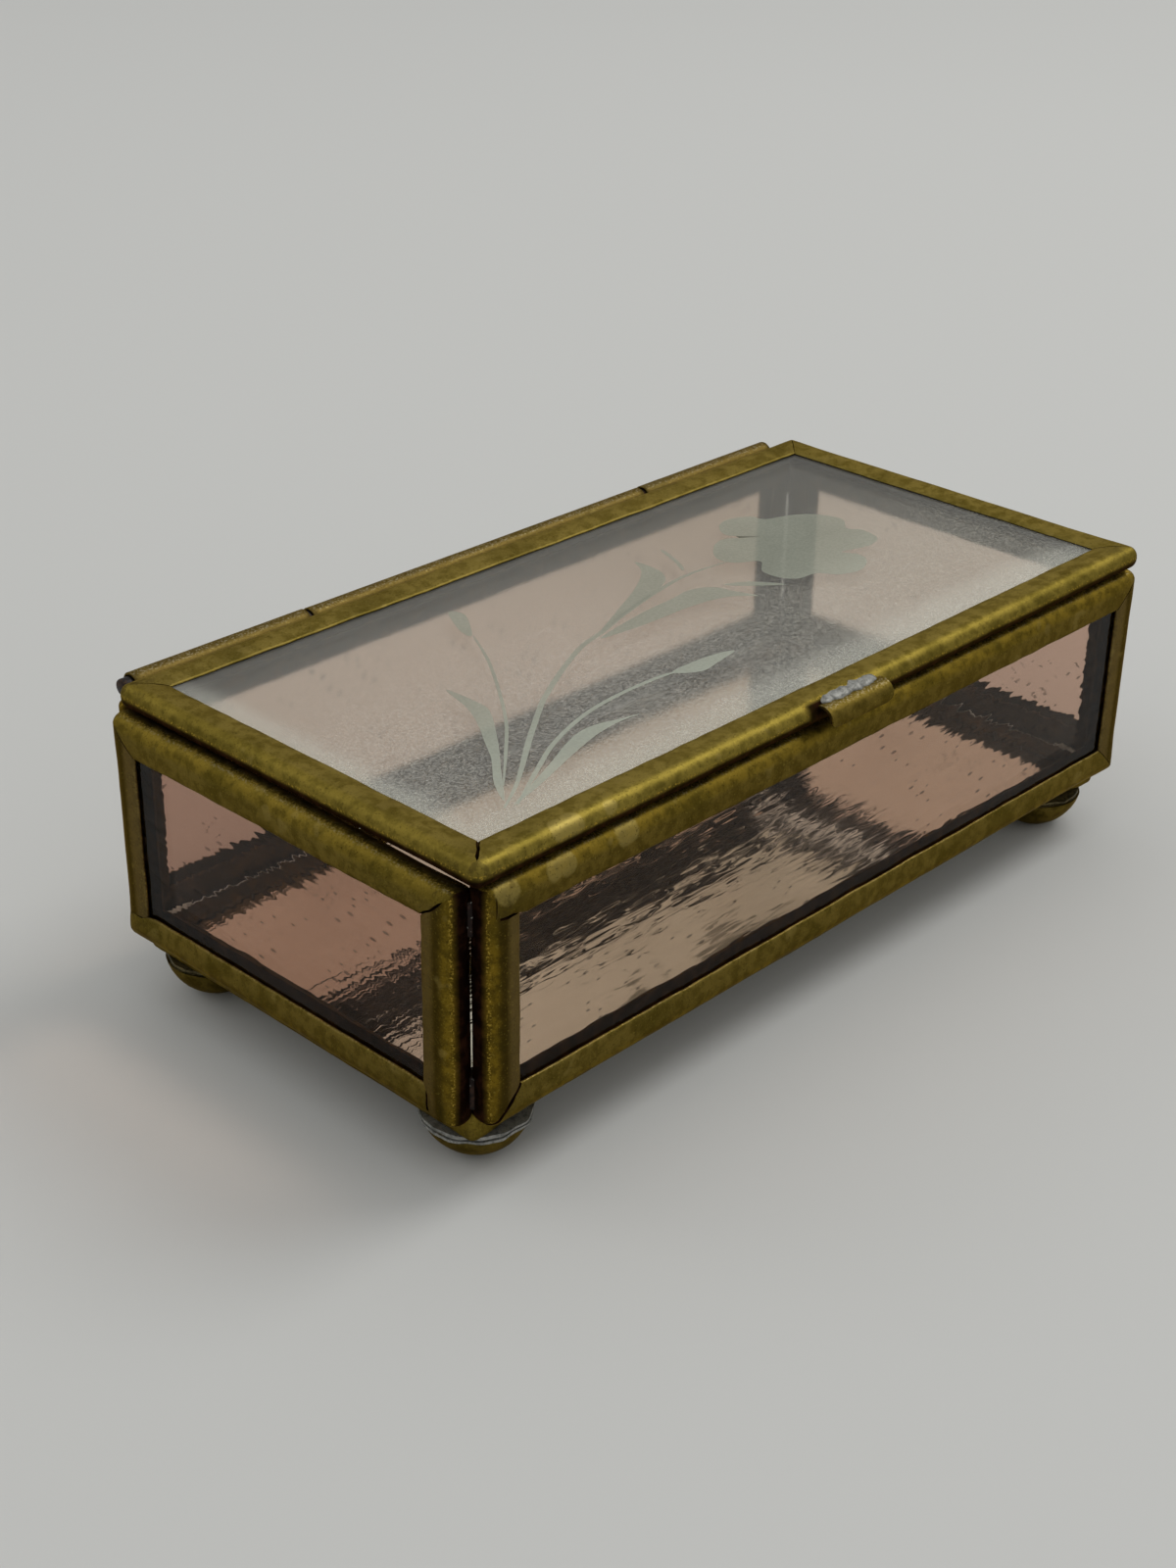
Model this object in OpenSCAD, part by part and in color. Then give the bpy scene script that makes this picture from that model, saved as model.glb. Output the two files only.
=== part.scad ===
// A small glass casket box. Every pane sits in its own folded brass channel: a mirrored
// base, four walls and an etched lid. The five box panels are soldered edge to edge, the
// lid swings on a rod hinge behind it, and four hollow domed feet carry the base.
// Axes: X runs along the front, Y to the rear, Z up. The origin lies under the middle of
// the box's outline, on the plane that the feet stand on. Inside the modules the sizes are
// measured from the inner front left corner of the base, where x, y and z are 0.

/* [Box] */
// Inner length, between the two end panels
box_length = 100; // [60:0.5:160]
// Inner depth, between the front and rear panels
box_depth = 47.1; // [36:0.1:90]
// Inner height, from the base to the top edge of the walls
box_height = 24.5; // [20:0.1:60]
// Slit between the round backs of neighbouring panels, which solder bridges
panel_gap = 0.15; // [0.05:0.05:0.3]

/* [Glass] */
// Thickness of the wall panes and of the mirror in the base
wall_glass = 2.4; // [2:0.1:3.2]
// Thickness of the lid's pane
lid_glass = 1.6; // [1.2:0.1:2.2]
// Play on each face of a pane inside its channel
glass_play = 0.1; // [0.05:0.05:0.15]

/* [Brass channel] */
// Thickness of the sheet that the channels are folded from
channel_wall = 0.45; // [0.3:0.05:0.6]
// Width of the channels' flat faces, from the back of the channel to the glass
channel_width = 3.8; // [3.2:0.1:6]
// Plan radius of the channel where it is folded round a corner
fold_radius = 1; // [0.8:0.1:1.3]
// Width of the mitre cut in the faces at each fold
fold_cut = 0.15; // [0.1:0.05:0.3]
// Stretch of face left whole between a mitre cut and the back of the channel
fold_land = 1.3; // [1.1:0.1:1.8]
// Gap at the one corner of each frame where the channel's two ends meet
seam_gap = 0.35; // [0.2:0.05:0.5]

/* [Lid] */
// How far the lid reaches past the inside of the left end panel
lid_reach_left = 2.4; // [0.4:0.1:3]
// How far the lid reaches past the inside of the right end panel
lid_reach_right = 0.45; // [0.4:0.05:3]
// How far the lid reaches past the inside of the front panel
lid_reach_front = 3.45; // [1.5:0.05:4.5]
// How far the lid reaches past the inside of the rear panel
lid_reach_rear = 0.45; // [0.1:0.05:0.6]
// Gap between the closed lid and the top edge of the walls
lid_gap = 0.32; // [0.3:0.01:0.5]

/* [Hinge] */
// Outside diameter of the two tubes on the lid
hinge_tube_diameter = 2.5; // [2.4:0.1:3]
// Outside diameter of the middle tube, which stays with the box
hinge_middle_diameter = 2.4; // [2.3:0.1:2.4]
// Diameter of the hinge rod
hinge_rod_diameter = 1.8; // [1.4:0.1:1.8]
// Running clearance round the rod, on the radius
hinge_clearance = 0.05; // [0.02:0.01:0.08]
// Film of solder between the rod and the middle tube
hinge_film = 0.02; // [0.01:0.01:0.05]
// Gap between a hinge tube and the channel beside it, which solder fills
hinge_seat = 0.2; // [0.2:0.05:0.3]
// Length of each tube on the lid
hinge_tube_length = 22.4; // [10:0.1:26]
// Distance from the inside of an end panel to the outer end of the tube near it
hinge_inset = 0.3; // [0.3:0.1:4]
// Extra inset of the right tube
hinge_right_shift = 2.7; // [0:0.1:4]
// Gap between the ends of neighbouring hinge tubes
hinge_notch = 0.5; // [0.3:0.1:1]
// How far the rod stands out of the left tube
rod_reach = 1.2; // [0.4:0.1:2]

/* [Lift tab] */
// Length of the curled tab on the lid's front edge
tab_length = 9.6; // [6:0.1:20]
// Outer radius of the curl
tab_radius = 1.5; // [1.4:0.1:1.9]
// Thickness of the tab's sheet
tab_wall = 0.35; // [0.25:0.05:0.5]
// Centre of the curl in front of the lid's front edge
tab_out = 0.2; // [0.1:0.05:0.5]
// Centre of the curl below the middle of the lid's thickness
tab_drop = 0.55; // [0.3:0.05:0.7]
// Shift of the tab to the left of the lid's middle
tab_shift = 0.7; // [-10:0.1:10]
// Radius of the bead that solders the tab down
tab_bead_radius = 0.5; // [0.4:0.05:0.55]
// Length of that bead
tab_bead_length = 7.6; // [4:0.1:9]

/* [Feet] */
// Height of a foot's dome
foot_height = 4.15; // [3:0.05:5]
// Radius of the dome's rim
foot_radius = 5.35; // [4.8:0.05:7]
// Radius of the flat that the dome stands on
foot_flat = 1.1; // [0.6:0.1:2]
// Thickness of the dome's sheet
foot_wall = 0.5; // [0.4:0.05:0.7]
// Centre of a foot, in from the end panel
foot_inset_x = 4.2; // [3:0.1:12]
// Centre of a foot, in from the front or rear panel
foot_inset_y = 4; // [3:0.1:10]
// Thickness of the solder between a dome and the base
foot_solder_height = 0.55; // [0.3:0.05:1]
// Radius of that solder
foot_solder_radius = 5.2; // [4:0.05:5.3]

/* [Solder] */
// Length of the solder tacks in the corners
tack_length = 3.6; // [2:0.1:6]
// Width of a tack across the groove that it fills
tack_width = 1.9; // [1:0.1:2.2]
// Width of the fillets along the hinge
hinge_fillet_width = 1.3; // [0.8:0.1:1.4]

/* [Hidden] */
$fn = 64;
over = 0.1;
brass = [0.50, 0.42, 0.16];
dark_brass = [0.30, 0.24, 0.10];
solder = [0.56, 0.55, 0.52];
clear_glass = [0.78, 0.82, 0.80, 0.5];
pink_glass = [0.72, 0.58, 0.55, 0.6];
mirror_glass = [0.70, 0.66, 0.64];

// Channel thicknesses, and how far each box panel passes the inner corner that it meets
channel = wall_glass + 2 * (glass_play + channel_wall);
lid_channel = lid_glass + 2 * (glass_play + channel_wall);
back = channel / 2;
lid_back = lid_channel / 2;
nest = channel - (channel + panel_gap) / sqrt(2);
back_in = back - nest;

// The lid's edges and levels
lid_x0 = -lid_reach_left;
lid_x1 = box_length + lid_reach_right;
lid_y0 = -lid_reach_front;
lid_y1 = box_depth + lid_reach_rear;
lid_z0 = box_height + lid_gap;
lid_middle_z = lid_z0 + lid_back;
lid_length = lid_x1 - lid_x0;
lid_depth = lid_y1 - lid_y0;

// The hinge line clears the lid's rear edge and the rear panel by the same seat
hinge_y = lid_y1 + hinge_tube_diameter / 2 + hinge_seat;
hinge_z = box_height + hinge_tube_diameter / 2 + hinge_seat;
hinge_x0 = hinge_inset;
hinge_x1 = box_length - hinge_inset - hinge_right_shift;
middle_x0 = hinge_x0 + hinge_tube_length + hinge_notch;
middle_x1 = hinge_x1 - hinge_tube_length - hinge_notch;
lid_back_center = [lid_y1 - lid_back, lid_middle_z];
rear_back_center = [box_depth + back, box_height - back];

// The tab's curl, and the valley between it and the round front of the lid
lid_front_center = [lid_y0 + lid_back, lid_middle_z];
tab_center = [lid_y0 - tab_out, lid_middle_z - tab_drop];
tab_x0 = (lid_x0 + lid_x1 - tab_length) / 2 - tab_shift;
tab_start = 40;
tab_end = 205;
tab_span = norm(tab_center - lid_front_center);
tab_way = (tab_center - lid_front_center) / tab_span;
tab_foot = (pow(lid_back, 2) - pow(tab_radius, 2) + pow(tab_span, 2)) / (2 * tab_span);
tab_rise = sqrt(pow(lid_back, 2) - pow(tab_foot, 2));
tab_valley = lid_front_center + tab_foot * tab_way + tab_rise * [tab_way[1], -tab_way[0]];

// Sphere through a dome's rim and its flat
dome_z = (pow(foot_height, 2) + pow(foot_radius, 2) - pow(foot_flat, 2)) / (2 * foot_height);
dome_radius = norm([dome_z, foot_flat]);

// The box's outline, which centres it over the origin
outline_x0 = -channel;
outline_x1 = box_length + channel;
outline_y0 = min(-channel, tab_center[0] - tab_radius);
outline_y1 = box_depth + channel;
ground = -channel - foot_solder_height - foot_height;
to_origin = [-(outline_x0 + outline_x1) / 2, -(outline_y0 + outline_y1) / 2, -ground];

// Flat outline with two half-round sides: the section of a channel panel
module panel_section(width, thickness) {
    translate([thickness / 2, 0]) square([width - thickness, thickness]);
    translate([thickness / 2, thickness / 2]) circle(d = thickness);
    translate([width - thickness / 2, thickness / 2]) circle(d = thickness);
}

// Rectangle with four round corners
module rounded_rectangle(width, depth, radius) {
    translate([radius, 0]) square([width - 2 * radius, depth]);
    translate([0, radius]) square([width, depth - 2 * radius]);
    for (x = [radius, width - radius], y = [radius, depth - radius])
        translate([x, y]) circle(r = radius);
}

// Flat slab with a half-round edge all round and folded corners
module panel_slab(width, depth, thickness, radius) {
    intersection() {
        rotate([90, 0, 90]) linear_extrude(width) panel_section(depth, thickness);
        translate([0, depth, 0]) rotate([90, 0, 0])
            linear_extrude(depth) panel_section(width, thickness);
        translate([0, 0, -over]) linear_extrude(thickness + 2 * over)
            rounded_rectangle(width, depth, radius);
    }
}

// Channel folded round a pane. The faces are cut on the mitre at every corner, and the
// strip's two ends meet at the corner that seam counts, from 0 at the origin, around.
module channel_frame(width, depth, thickness, seam) {
    corners = [[0, 0], [width, 0], [width, depth], [0, depth]];
    difference() {
        panel_slab(width, depth, thickness, fold_radius);
        translate([channel_wall, channel_wall, channel_wall])
            panel_slab(width - 2 * channel_wall, depth - 2 * channel_wall,
                       thickness - 2 * channel_wall, fold_radius - channel_wall);
        translate([channel_width, channel_width, -over])
            cube([width - 2 * channel_width, depth - 2 * channel_width, thickness + 2 * over]);
        for (i = [0:3]) {
            cut = i == seam ? seam_gap : fold_cut;
            start = i == seam ? -over : fold_land * sqrt(2);
            translate([corners[i][0], corners[i][1], -over]) rotate([0, 0, 45 + 90 * i])
                translate([start, -cut / 2, 0])
                    cube([channel_width * sqrt(2) + cut - start, cut, thickness + 2 * over]);
        }
    }
}

// Pane for a frame of the same size: it reaches to where the channel starts to round
module pane(width, depth, thickness, glass) {
    edge = thickness / 2;
    translate([edge, edge, (thickness - glass) / 2])
        cube([width - 2 * edge, depth - 2 * edge, glass]);
}

// Places that turn a flat panel into a wall, the base or the lid
module front_place() { translate([-nest, 0, -nest]) rotate([90, 0, 0]) children(); }
module rear_place() { translate([-nest, box_depth + channel, -nest]) rotate([90, 0, 0]) children(); }
module left_place() { translate([-channel, -nest, -nest]) rotate([90, 0, 90]) children(); }
module right_place() { translate([box_length, -nest, -nest]) rotate([90, 0, 90]) children(); }
module base_place() { translate([-nest, -nest, -channel]) children(); }
module lid_place() { translate([lid_x0, lid_y0, lid_z0]) children(); }

wide = box_length + 2 * nest;
deep = box_depth + 2 * nest;
tall = box_height + nest;

module front_frame() { color(brass) front_place() channel_frame(wide, tall, channel, 0); }
module rear_frame() { color(brass) rear_place() channel_frame(wide, tall, channel, 1); }
module left_frame() { color(brass) left_place() channel_frame(deep, tall, channel, 1); }
module right_frame() { color(brass) right_place() channel_frame(deep, tall, channel, 0); }
module base_frame() { color(brass) base_place() channel_frame(wide, deep, channel, 2); }
module lid_frame() { color(brass) lid_place() channel_frame(lid_length, lid_depth, lid_channel, 0); }

module front_glass() { color(pink_glass) front_place() pane(wide, tall, channel, wall_glass); }
module rear_glass() { color(pink_glass) rear_place() pane(wide, tall, channel, wall_glass); }
module left_glass() { color(pink_glass) left_place() pane(deep, tall, channel, wall_glass); }
module right_glass() { color(pink_glass) right_place() pane(deep, tall, channel, wall_glass); }
module base_mirror() { color(mirror_glass) base_place() pane(wide, deep, channel, wall_glass); }
module lid_glass_pane() {
    color(clear_glass) lid_place() pane(lid_length, lid_depth, lid_channel, lid_glass);
}

// Section of the solder that bridges two round backs at points a and b, with their radii
module solder_section(a, radius_a, b, radius_b, width) {
    way = b - a;
    near = sqrt(pow(radius_a, 2) - pow(width / 2, 2)) - over;
    far = norm(way) - sqrt(pow(radius_b, 2) - pow(width / 2, 2)) + over;
    difference() {
        translate(a) rotate(atan2(way[1], way[0]))
            translate([near, -width / 2]) square([far - near, width]);
        translate(a) circle(r = radius_a);
        translate(b) circle(r = radius_b);
    }
}

// One corner of the walls, with a tack at its top and one at its bottom. A side is -1 for
// left or front and 1 for right or rear.
module corner_tacks(side_x, side_y) {
    x = side_x < 0 ? 0 : box_length;
    y = side_y < 0 ? 0 : box_depth;
    for (z = [back_in, box_height - back - tack_length])
        translate([0, 0, z]) linear_extrude(tack_length)
            solder_section([x - side_x * back_in, y + side_y * back], back,
                           [x + side_x * back, y - side_y * back_in], back, tack_width);
}
module corner_solder_front_left() { color(solder) corner_tacks(-1, -1); }
module corner_solder_front_right() { color(solder) corner_tacks(1, -1); }
module corner_solder_rear_left() { color(solder) corner_tacks(-1, 1); }
module corner_solder_rear_right() { color(solder) corner_tacks(1, 1); }

// Section of the solder between a wall at place p and the base
module base_seam_section(p, side) {
    solder_section([p + side * back, back_in], back, [p - side * back_in, -back], back, tack_width);
}
module base_seam_solder() {
    color(solder) {
        for (side = [-1, 1], x = [back, box_length - back - tack_length])
            translate([x, 0, 0]) rotate([90, 0, 90]) linear_extrude(tack_length)
                base_seam_section(side < 0 ? 0 : box_depth, side);
        for (side = [-1, 1], y = [back, box_depth - back - tack_length])
            translate([0, y + tack_length, 0]) rotate([90, 0, 0]) linear_extrude(tack_length)
                base_seam_section(side < 0 ? 0 : box_length, side);
    }
}

// Under a corner of the base: a side is -1 for left or front and 1 for right or rear
module foot_place(side_x, side_y) {
    x = side_x < 0 ? foot_inset_x : box_length - foot_inset_x;
    y = side_y < 0 ? foot_inset_y : box_depth - foot_inset_y;
    translate([x, y, ground]) children();
}

// Hollow dome with a small flat under it
module foot_dome() {
    translate([0, 0, dome_z]) difference() {
        sphere(r = dome_radius);
        sphere(r = dome_radius - foot_wall);
        translate([-2 * dome_radius, -2 * dome_radius, foot_height - dome_z])
            cube(4 * dome_radius);
        translate([-2 * dome_radius, -2 * dome_radius, -dome_z - 4 * dome_radius])
            cube(4 * dome_radius);
    }
}
module foot_front_left() { color(brass) foot_place(-1, -1) foot_dome(); }
module foot_front_right() { color(brass) foot_place(1, -1) foot_dome(); }
module foot_rear_left() { color(brass) foot_place(-1, 1) foot_dome(); }
module foot_rear_right() { color(brass) foot_place(1, 1) foot_dome(); }

module foot_pad() {
    translate([0, 0, foot_height]) cylinder(h = foot_solder_height, r = foot_solder_radius);
}
module foot_solder_front_left() { color(solder) foot_place(-1, -1) foot_pad(); }
module foot_solder_front_right() { color(solder) foot_place(1, -1) foot_pad(); }
module foot_solder_rear_left() { color(solder) foot_place(-1, 1) foot_pad(); }
module foot_solder_rear_right() { color(solder) foot_place(1, 1) foot_pad(); }

// Straight piece along the hinge line
module hinge_bar(x0, x1, diameter) {
    translate([x0, hinge_y, hinge_z]) rotate([0, 90, 0]) cylinder(h = x1 - x0, d = diameter);
}
module hinge_tube(x0, x1, diameter, bore) {
    difference() {
        hinge_bar(x0, x1, diameter);
        hinge_bar(x0 - over, x1 + over, bore);
    }
}
lid_bore = hinge_rod_diameter + 2 * hinge_clearance;
middle_bore = hinge_rod_diameter + 2 * hinge_film;
module hinge_tube_left() {
    color(brass) hinge_tube(hinge_x0, hinge_x0 + hinge_tube_length, hinge_tube_diameter, lid_bore);
}
module hinge_tube_right() {
    color(brass) hinge_tube(hinge_x1 - hinge_tube_length, hinge_x1, hinge_tube_diameter, lid_bore);
}
module hinge_tube_middle() {
    color(brass) hinge_tube(middle_x0, middle_x1, hinge_middle_diameter, middle_bore);
}
module hinge_rod() {
    color(dark_brass) hinge_bar(hinge_x0 - rod_reach, hinge_x1 + hinge_notch, hinge_rod_diameter);
}

// Solder along the hinge, cut back a notch at each end of a tube
module hinge_fillet(x0, x1, back_center, back_radius, tube_radius) {
    translate([x0 + hinge_notch, 0, 0]) rotate([90, 0, 90])
        linear_extrude(x1 - x0 - 2 * hinge_notch)
            solder_section(back_center, back_radius, [hinge_y, hinge_z], tube_radius,
                           hinge_fillet_width);
}
module hinge_solder_lid() {
    color(solder) for (x0 = [hinge_x0, hinge_x1 - hinge_tube_length])
        hinge_fillet(x0, x0 + hinge_tube_length, lid_back_center, lid_back,
                     hinge_tube_diameter / 2);
}
module hinge_solder_box() {
    color(solder) hinge_fillet(middle_x0, middle_x1, rear_back_center, back,
                               hinge_middle_diameter / 2);
}

// Section of the curled tab, which ends on the round front of the lid
module tab_section() {
    reach = 2 * tab_radius;
    difference() {
        intersection() {
            translate(tab_center) circle(r = tab_radius);
            translate(tab_center) polygon(concat([[0, 0]],
                [for (a = [tab_start:15:tab_end]) reach * [cos(a), sin(a)]]));
        }
        translate(tab_center) circle(r = tab_radius - tab_wall);
        translate(lid_front_center) circle(r = lid_back);
    }
}
module lift_tab() {
    color(brass) translate([tab_x0, 0, 0]) rotate([90, 0, 90])
        linear_extrude(tab_length) tab_section();
}
module lift_tab_solder() {
    color(solder) translate([tab_x0 + (tab_length - tab_bead_length) / 2, 0, 0])
        rotate([90, 0, 90]) linear_extrude(tab_bead_length) difference() {
            translate(tab_valley) circle(r = tab_bead_radius);
            translate(lid_front_center) circle(r = lid_back);
            translate(tab_center) circle(r = tab_radius);
        }
}

module placed() { translate(to_origin) children(); }
placed() front_frame();
placed() rear_frame();
placed() left_frame();
placed() right_frame();
placed() base_frame();
placed() lid_frame();
placed() front_glass();
placed() rear_glass();
placed() left_glass();
placed() right_glass();
placed() base_mirror();
placed() lid_glass_pane();
placed() corner_solder_front_left();
placed() corner_solder_front_right();
placed() corner_solder_rear_left();
placed() corner_solder_rear_right();
placed() base_seam_solder();
placed() foot_front_left();
placed() foot_front_right();
placed() foot_rear_left();
placed() foot_rear_right();
placed() foot_solder_front_left();
placed() foot_solder_front_right();
placed() foot_solder_rear_left();
placed() foot_solder_rear_right();
placed() hinge_tube_left();
placed() hinge_tube_right();
placed() hinge_tube_middle();
placed() hinge_rod();
placed() hinge_solder_lid();
placed() hinge_solder_box();
placed() lift_tab();
placed() lift_tab_solder();
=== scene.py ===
"""Looks of the glass casket box: four glass walls, a mirror base and an etched lid, each in a
folded brass channel, with soldered corners, dome feet, a rod hinge and a curled lift tab.

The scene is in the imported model's frame, in metres. Meshes are drawn in millimetres.
"""

import math
from types import SimpleNamespace

import bmesh
import bpy
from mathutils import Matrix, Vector, noise


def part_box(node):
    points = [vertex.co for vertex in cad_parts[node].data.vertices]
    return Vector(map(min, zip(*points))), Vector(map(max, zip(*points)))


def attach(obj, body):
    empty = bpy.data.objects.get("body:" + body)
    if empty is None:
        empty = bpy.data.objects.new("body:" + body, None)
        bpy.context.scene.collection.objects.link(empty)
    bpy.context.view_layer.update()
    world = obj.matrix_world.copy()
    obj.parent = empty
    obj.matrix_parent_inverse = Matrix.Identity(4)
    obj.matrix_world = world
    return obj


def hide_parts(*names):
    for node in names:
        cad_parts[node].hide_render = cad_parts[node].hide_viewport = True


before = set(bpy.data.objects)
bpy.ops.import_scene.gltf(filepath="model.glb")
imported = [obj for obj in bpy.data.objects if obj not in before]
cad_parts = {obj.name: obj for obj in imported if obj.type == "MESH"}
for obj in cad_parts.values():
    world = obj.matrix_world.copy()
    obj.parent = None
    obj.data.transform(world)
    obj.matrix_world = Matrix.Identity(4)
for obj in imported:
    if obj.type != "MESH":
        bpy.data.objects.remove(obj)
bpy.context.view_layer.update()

MM = 0.001
X, Y, Z = Vector((1, 0, 0)), Vector((0, 1, 0)), Vector((0, 0, 1))


# -------- measures from the frame
BOXES = {node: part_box(node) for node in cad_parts}


def low_mm(node):
    return BOXES[node][0] / MM


def high_mm(node):
    return BOXES[node][1] / MM


# Inner front left corner of the base, from which the box is measured
CORNER = Vector((high_mm("left_frame").x, high_mm("front_frame").y, high_mm("base_frame").z))
LID_TOP = high_mm("lid_glass_pane").z


# -------- meshes
# Vertices nearer than this are one, and edges sharper than this angle stay sharp
WELD = 0.0005
SHARP = math.radians(50)
# What the brass material reads at each vertex: band is the place across the fold, reach the
# distance from a corner, shade how far painted shade blackens it and age how tarnished it is
LAYERS = ("band", "reach", "shade", "age")


# Unseeded, Blender starts its vector noise from the clock, and each run would differ
noise.seed_set(1)


def add_layers(bm):
    return {name: bm.verts.layers.float.new(name) for name in LAYERS}


def wobble(p, amount, size, seed):
    """Smooth random push of a point in mm, the same for points in the same place."""
    q = Vector(p) / size + Vector((17.3, 5.1, 9.7)) * seed
    return Vector(noise.noise_vector(q)) * amount


def smooth_step(t):
    t = min(1.0, max(0.0, t))
    return t * t * (3 - 2 * t)


def add_strip(bm, a, b, closed=True):
    """Faces between two rows of vertices, which may run round a loop."""
    count = len(a)
    for i in range(count if closed else count - 1):
        j = (i + 1) % count
        bm.faces.new((a[i], a[j], b[j], b[i]))


def new_object(name, data):
    obj = bpy.data.objects.new(name, data)
    bpy.context.scene.collection.objects.link(obj)
    return obj


def finish_mesh(name, bm, body, replaced, material):
    """The bmesh, in mm, as a piece that rides a body and stands for CAD nodes."""
    bmesh.ops.recalc_face_normals(bm, faces=bm.faces)
    for v in bm.verts:
        v.co *= MM
    mesh = bpy.data.meshes.new(name)
    bm.to_mesh(mesh)
    bm.free()
    obj = new_object(name, mesh)
    mesh.materials.append(material)
    mesh.shade_smooth()
    mesh.set_sharp_from_angle(angle=SHARP)
    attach(obj, body)
    if replaced:
        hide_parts(*replaced)


# -------- folded brass channels
FOLD_RADIUS = 1.0  # of a channel's corner, seen from its face
LIP = 3.8  # width of a channel
SHEET = 0.45  # thickness of the brass
LAND = 0.9  # uncut edge outside a mitre's slit
TONGUE = 3.2  # width of a lapping side's tongue
STATION = 0.9  # distance between the rings along a side
SLANT = 0.707  # a slit's half width, measured along the side, over its width


def channel_profile(thickness, crown, square):
    """Outer and inner line of the fold as (depth from the outer edge, height, band).

    The band runs from -1 at the inner face's lip over 0 in the middle of the round back
    to 1 at the outer face's lip, and tells the brass where it is. crown is how far the
    lips dip towards the glass, square how boxy the back is, from 0 to 1."""
    half = thickness / 2
    depths = [LIP - 0.02, LIP - 0.1, LIP - 0.3, 3.2, 2.9, 2.6, 2.3, 2.0]
    drops = [0.10, 0.02, 0, 0, 0, 0, 0, 0]
    lips = []
    for d, drop in zip(depths, drops):
        out = (d - half) / (LIP - half)
        lips.append((d, drop + crown * out ** 2, 0.5 + 0.5 * out))
    outer = [(d, thickness - dip, band) for d, dip, band in lips]
    inner = [(d, thickness - SHEET, band) for d, dip, band in lips]
    turns = 14
    power = 1 - 0.6 * square
    for i in range(turns + 1):
        a = math.pi * i / turns
        bulge = max(0.0, math.sin(a)) ** power
        rise = math.copysign(abs(math.cos(a)) ** power, math.cos(a))
        for line, radius in ((outer, half), (inner, half - SHEET)):
            line.append((half - radius * bulge, half + radius * rise, 0.5 - i / turns))
    outer += [(d, dip, -band) for d, dip, band in reversed(lips)]
    inner += [(d, SHEET, -band) for d, dip, band in reversed(lips)]
    return outer, inner


def side_stations(length):
    """Places along one side of a frame, as (kind, value): its two folds and the run between."""
    folds = 5
    run = max(4, round((length - 2 * LIP) / STATION))
    stations = [("start", i / folds) for i in range(folds)]
    stations += [("run", i / run) for i in range(run + 1)]
    stations += [("end", 1 - (i + 1) / folds) for i in range(folds)]
    return stations


def near_corner(kind, value, length):
    """1 at the ends of a side, 0 from 5 mm on."""
    if kind != "run":
        return 1.0
    return 1 - smooth_step((length / 2 - abs(value - 0.5) * length - 1.0) / 4.0)


def slit_width(d, band, lining, cut, open_to_edge):
    """Half width of the mitre slit along a side. It stays shut in the sheet's lining and is a
    hairline on the hidden faces, so that no light comes through."""
    if lining:
        return 0.0
    if band < -0.2:
        cut = 0.03
    if open_to_edge:
        return cut * SLANT
    return cut * SLANT * smooth_step((d - LAND) / 0.5)


def mitre_at(d, lap):
    """How far from the corner a side ends at depth d. lap is 1 where it covers the other
    side with a tongue, -1 where it goes under one and 0 at a plain mitre."""
    plain = max(FOLD_RADIUS, d)
    t = smooth_step((d - LAND) / 0.3)
    if lap > 0:
        return plain + (LAND - plain) * t
    if lap < 0:
        return plain + (TONGUE + 0.05 - plain) * t
    return plain


def side_stops(plan, side, d, band, lining):
    """Where the side ends at depth d, as distances from its two corners."""
    stops = []
    for c, lap in zip(side.ends, side.laps):
        slit = slit_width(d, band, lining, plan["cuts"][c], c in plan["open"])
        slit = 0.0 if lap > 0 else slit
        jag = noise.noise(Vector((d * 1.1, side.seed + c * 3.7, side.index)))
        stops.append(mitre_at(d, lap) + slit * (1 + jag))
    return stops


def along_side(kind, value, d, length, stops):
    """(distance along the side, distance in from it) of a station at depth d."""
    if kind == "run":
        return stops[0] + (length - stops[1] - stops[0]) * value, d
    angle = math.radians(45 + 45 * value)
    radius = max(0.0, FOLD_RADIUS - d)
    back = radius * math.cos(angle)
    inward = max(FOLD_RADIUS, d) - radius * math.sin(angle)
    if kind == "start":
        return stops[0] - back, inward
    return length - stops[1] + back, inward


def tongue_depth(d, side, along):
    """A lapping side's lip narrows to its tongue, whose end the other side meets."""
    for lap, reach in zip(side.laps, (along, side.length - along)):
        if lap > 0 and d > LAND:
            t = smooth_step((LIP + 0.35 - reach) / 0.9)
            d -= (d - LAND) / (LIP - LAND) * (LIP - TONGUE) * t
    return d


def tongue_lift(d, side, along):
    """A tongue that laps over the next side stands a little proud of it."""
    lift = 0.0
    for lap, reach in zip(side.laps, (along, side.length - along)):
        if lap > 0 and d > LAND:
            rise = smooth_step((reach - LAND) / 1.2) * (1 - smooth_step((reach - 3.0) / 3.5))
            lift += 0.20 * rise * smooth_step((d - LAND) / 0.8)
    return lift


SAG, SAG_LENGTH = Vector((0.12, 0, -0.48)), 26.0


def sag_at_slit(p):
    """The left wall's top rail is a little low towards the front, which opens a slit."""
    near = 1 - smooth_step((p.y - low_mm("left_frame").y) / SAG_LENGTH)
    top = smooth_step((p.z - high_mm("left_frame").z + 3.6) / 1.6)
    return SAG * near * top


def shadow_under_tab(p, band):
    """Painted shadow: black in the hollow under the lift tab, on the lid's front rail."""
    low, high = low_mm("lift_tab"), high_mm("lift_tab")
    if p.y > 0 or band > 0.40:
        return 0.0
    inside = smooth_step((p.x - low.x + 2.0) / 1.0) * smooth_step((high.x - 0.8 - p.x) / 0.8)
    return inside * smooth_step((0.40 - band) / 0.1)


def shade_of(plan, band, index):
    """Painted shade: 1 where a face lies in a groove or looks into the box, where shade falls.
    """
    first, last = (0.25, 0.07) if index == plan["slit"] else plan["groove"]
    return smooth_step((first - band) / (first - last))


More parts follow.
